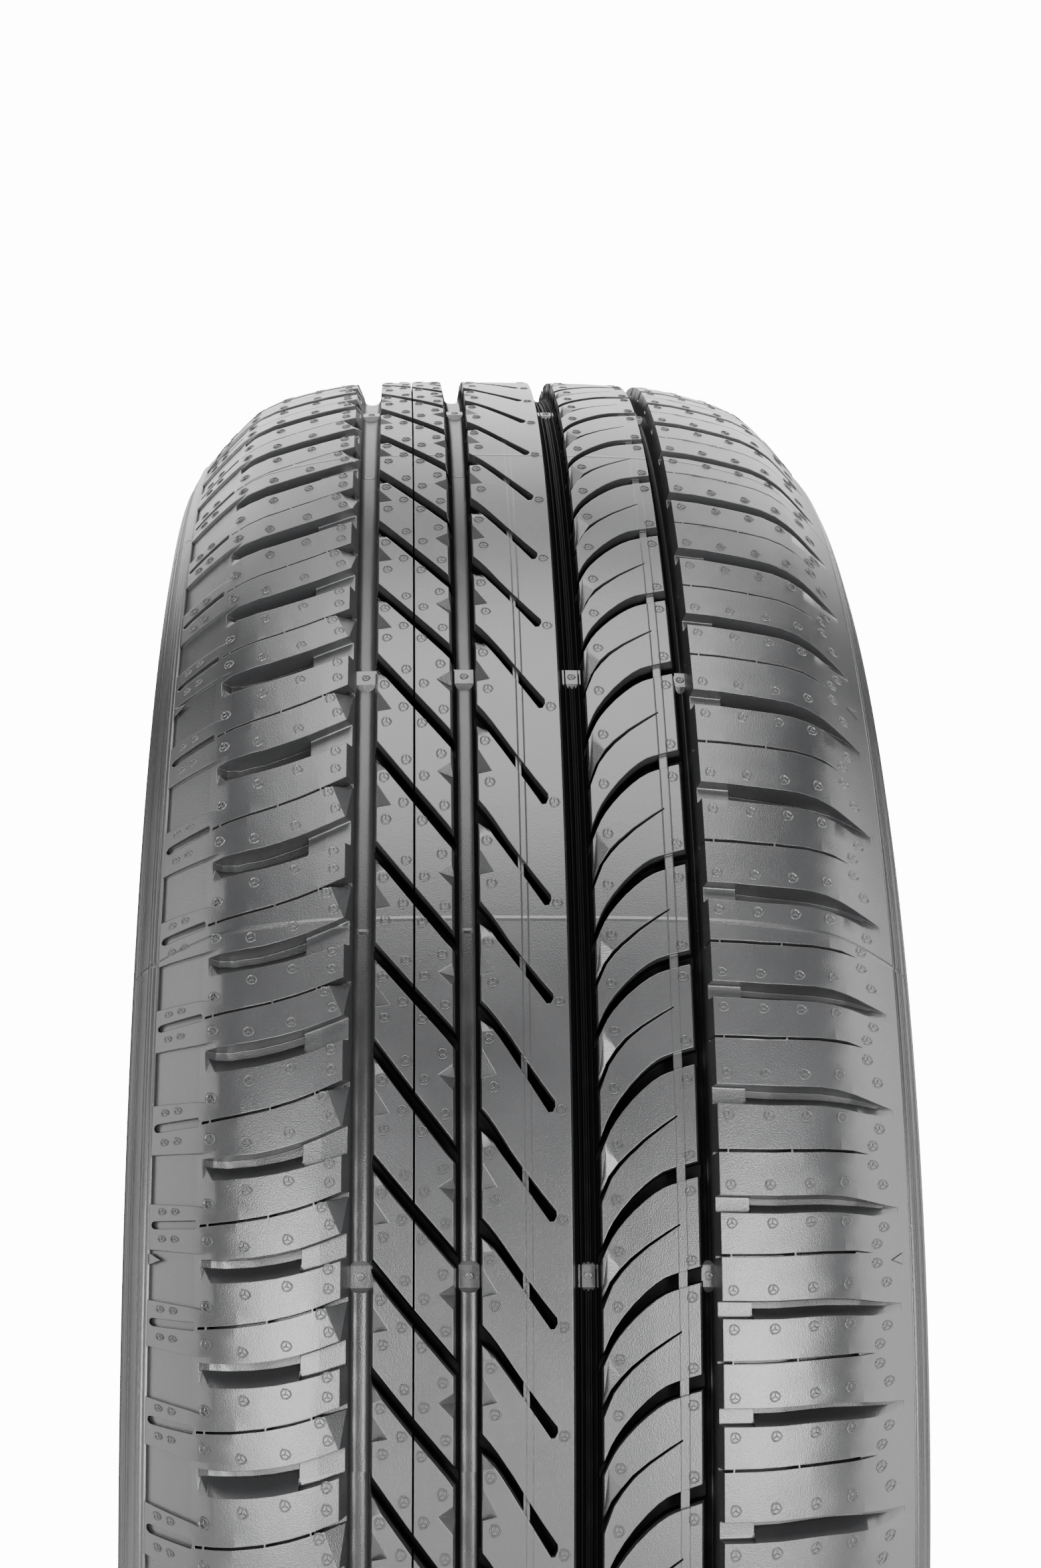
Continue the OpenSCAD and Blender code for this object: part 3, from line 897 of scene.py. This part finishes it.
def wear_pointer(places, faces, y, angle, towards):
    """A low raised triangle near a shoulder edge that points towards a row of wear bars: to the
    inner side where towards is 1, and to the outer side where it is -1."""
    start = len(places)
    back, tip = y - 1.5 * towards, y + 1.7 * towards
    corners = ((back, -1.7 * towards), (tip, 0.0), (back, 1.7 * towards))
    for height in (-0.2, 0.35):
        places.extend(wrapped((across, 0.0, height), angle + along / CROWN_RADIUS)
                      for across, along in corners)
    faces.extend([[start + 3, start + 4, start + 5], [start + 2, start + 1, start]])
    faces.extend([start + i, start + (i + 1) % 3, start + 3 + (i + 1) % 3, start + 3 + i]
                 for i in range(3))


class TYRE_OT_wear_bars(Operator):
    """Adds the wear bars across the four main grooves, and the triangles that point to them"""

    bl_idname = "tyre.wear_bars"
    bl_label = "Wear bars"

    def execute(self, context):
        sizes = context.scene.tyre_sizes
        places, faces = [], []
        for k in range(sizes.wear_bars):
            angle = math.radians(FIRST_WEAR_BAR) + k * 2 * math.pi / sizes.wear_bars
            for left, right in MAIN_GROOVES:
                wear_bar(places, faces, left, right, sizes, angle)
            wear_pointer(places, faces, OUTER_POINTER, angle, 1)
            wear_pointer(places, faces, INNER_POINTER, angle, -1)
        dress(mesh_piece("wear_bars", places, faces), smooth_below=30)
        return {"FINISHED"}


def sidewall_profile(edge, ridges):
    """The outer face of a sidewall, from a shoulder edge to the bead heel, as [y, r]. It has
    places close together only along its ridges."""
    middle = mix(BEAD_RADIUS, CROWN_RADIUS, 0.5)
    edge_r = crown_r(edge)
    curve = bend((edge + 0.1, edge_r + 0.2), (HALF_SECTION - 2.6, edge_r - 7.5),
                 (HALF_SECTION - 1.0, mix(middle, CROWN_RADIUS, 0.26)), 110)
    profile = [(edge - 2.0, edge_r - 2.5), (edge - 0.5, edge_r)]
    plain_step = 2.5
    gone = 0.0
    for (y0, r0), (y1, r1) in zip(curve, curve[1:]):
        step = math.hypot(y1 - y0, r1 - r0)
        rise = 0.0
        near = False
        for at, width, height in ridges:
            away = abs(gone - at) / (width / 2)
            rise += height * max(0.0, 1.0 - away * away)
            near = near or away < 1.7
        if near or int(gone / plain_step) != int((gone - step) / plain_step) or gone == 0.0:
            across = ((r0 - r1) / step, (y1 - y0) / step)
            profile.append((y0 + rise * across[0], r0 + rise * across[1]))
        gone += step
    profile += bend((HALF_SECTION - 0.4, middle + 7), (HALF_SECTION + 0.4, middle),
                    (HALF_SECTION - 1, middle - 9), 6)
    profile += bend((HALF_SECTION - 4.5, middle - 21), (HALF_SECTION - 13, BEAD_RADIUS + 30),
                    (HALF_SPREAD + 9, BEAD_RADIUS + 20), 8)
    profile += bend((HALF_SPREAD + 5, BEAD_RADIUS + 18.5), (HALF_SPREAD, BEAD_RADIUS + 15),
                    (HALF_SPREAD, BEAD_RADIUS + 6), 5)
    profile += [(HALF_SPREAD, BEAD_RADIUS + 2), (HALF_SPREAD - 1.5, BEAD_RADIUS)]
    return profile


def chamber_profile():
    """The face of the air chamber, from the bead toe to the middle of the crown, as [y, r]."""
    middle = mix(BEAD_RADIUS, CROWN_RADIUS, 0.5)
    liner = CROWN_RADIUS - CROWN_THICKNESS
    inside = HALF_SECTION - WALL_THICKNESS
    profile = [(HALF_SPREAD - 16, BEAD_RADIUS), (HALF_SPREAD - 17, BEAD_RADIUS + 3)]
    profile += bend((HALF_SPREAD - 15, BEAD_RADIUS + 12), (HALF_SPREAD - 4, BEAD_RADIUS + 21),
                    (inside - 9, BEAD_RADIUS + 36), 7)
    profile += bend((inside - 3, BEAD_RADIUS + 48), (inside + 1, middle), (inside - 2, middle + 12), 7)
    profile += bend((inside - 5, middle + 18), (inside - 9, liner - 24), (88.0, liner - 12), 8)
    profile += [(70.0, liner - 6.0), (46.0, liner - 1.6), (20.0, liner - 0.1)]
    return profile


class TYRE_OT_carcass(Operator):
    """Turns the sidewalls, the beads and the air chamber round the axle line"""

    bl_idname = "tyre.carcass"
    bl_label = "Carcass"

    def execute(self, context):
        inner = chamber_profile()
        profile = sidewall_profile(spread(SLAB_EDGE), INNER_SIDE_RIDGES) + inner
        profile += [(-y, r) for y, r in reversed(inner)]
        outer = sidewall_profile(-spread(-SLAB_EDGE), OUTER_SIDE_RIDGES)
        profile += [(-y, r) for y, r in reversed(outer)]
        places = [(r * MM, y * MM, 0.0) for y, r in profile]
        edges = [(i, i + 1) for i in range(len(places) - 1)]
        piece = mesh_piece("carcass", places, [], edges)
        make_active(piece)
        bpy.ops.object.mode_set(mode="EDIT")
        bpy.ops.mesh.select_all(action="SELECT")
        bpy.ops.mesh.spin(steps=CARCASS_STEPS, angle=2 * math.pi, center=(0, 0, 0), axis=(0, 1, 0))
        bpy.ops.mesh.select_all(action="SELECT")
        bpy.ops.mesh.remove_doubles(threshold=0.01 * MM)
        bpy.ops.mesh.normals_make_consistent(inside=False)
        bpy.ops.object.mode_set(mode="OBJECT")
        dress(piece, smooth_below=24)
        return {"FINISHED"}


def area_light(name, size, watts, place, target):
    """A soft rectangular light at a place, aimed at a target."""
    deselect()
    bpy.ops.object.light_add(type="AREA", location=place)
    light = bpy.context.object
    light.name = name
    light.data.shape = "RECTANGLE"
    light.data.size, light.data.size_y = size
    light.data.energy = watts
    light.rotation_euler = (Vector(target) - Vector(place)).to_track_quat("-Z", "Y").to_euler()


class TYRE_OT_stage(Operator):
    """Sets the floor, the soft lights and the camera"""

    bl_idname = "tyre.stage"
    bl_label = "Stage"

    def execute(self, context):
        deselect()
        bpy.ops.mesh.primitive_plane_add(size=5, location=(0, 0, LOW[2] - 0.001))
        floor = context.object
        floor.name = "floor"
        bpy.ops.object.transform_apply(location=True, rotation=True, scale=True)
        finish = Finish("floor_paint")
        finish.set(Base_Color=(*context.scene.tyre_colours.floor, 1.0), Roughness=0.9)
        floor.data.materials.append(finish.material)

        # The room is dim, so that the grooves go dark, and shows as white behind the tyre.
        world = bpy.data.worlds.new("studio")
        world.use_nodes = True
        nodes = Nodes(world.node_tree)
        seen = nodes.add("ShaderNodeLightPath", output="Is Camera Ray")
        background = nodes.tree.nodes["Background"]
        nodes.feed(background.inputs["Color"], (1, 1, 1, 1))
        nodes.feed(background.inputs["Strength"], seen * (WHITE_BACKDROP - DIM_ROOM) + DIM_ROOM)
        context.scene.world = world
        for name, size, watts, place, target in SOFT_LIGHTS:
            area_light(name, size, watts, place, target)

        # The viewpoint of the photograph: in front of the tread, a little to its outer side.
        yaw, tilt, roll = (math.radians(turn) for turn in (VIEW_YAW, VIEW_TILT, VIEW_ROLL))
        deselect()
        bpy.ops.object.camera_add(location=(VIEW_DISTANCE * CROWN_RADIUS * MM, VIEW_ACROSS * MM, 0))
        camera = context.object
        camera.name = "camera"
        camera.data.sensor_fit = "HORIZONTAL"
        camera.data.sensor_width = SENSOR_WIDTH
        camera.data.lens = SENSOR_WIDTH * FOCAL_PIXELS / PHOTO_WIDTH
        camera.data.clip_start = 0.01
        forward = Vector((-math.cos(tilt) * math.cos(yaw), math.cos(tilt) * math.sin(yaw), math.sin(tilt)))
        right = Vector((math.sin(yaw), math.cos(yaw), 0.0))
        up = right.cross(forward)
        right, up = (math.cos(roll) * right + math.sin(roll) * up,
                     math.cos(roll) * up - math.sin(roll) * right)
        camera.rotation_euler = Matrix((right, up, -forward)).transposed().to_euler()
        context.scene.camera = camera
        return {"FINISHED"}


class TYRE_PT_panel(Panel):
    """Lists the tyre's sizes, colours and building steps"""

    bl_idname = "TYRE_PT_panel"
    bl_label = "Car tyre"
    bl_space_type = "VIEW_3D"
    bl_region_type = "UI"
    bl_category = "Tyre"

    def draw(self, context):
        for group in (context.scene.tyre_sizes, context.scene.tyre_colours):
            for key in group.__annotations__:
                self.layout.prop(group, key)
        for step in STEPS:
            self.layout.operator(step.bl_idname)


STEPS = (TYRE_OT_carcass, TYRE_OT_tread, TYRE_OT_vent_marks, TYRE_OT_wear_bars, TYRE_OT_stage)
CLASSES = (TyreSizes, TyreColours, *STEPS, TYRE_PT_panel)


def register():
    for item in CLASSES:
        bpy.utils.register_class(item)
    bpy.types.Scene.tyre_sizes = PointerProperty(type=TyreSizes)
    bpy.types.Scene.tyre_colours = PointerProperty(type=TyreColours)


def unregister():
    del bpy.types.Scene.tyre_colours
    del bpy.types.Scene.tyre_sizes
    for item in reversed(CLASSES):
        bpy.utils.unregister_class(item)


def main():
    register()
    bpy.ops.tyre.carcass()
    bpy.ops.tyre.tread()
    bpy.ops.tyre.vent_marks()
    bpy.ops.tyre.wear_bars()
    bpy.ops.tyre.stage()
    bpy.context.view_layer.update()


if __name__ == "__main__":
    main()
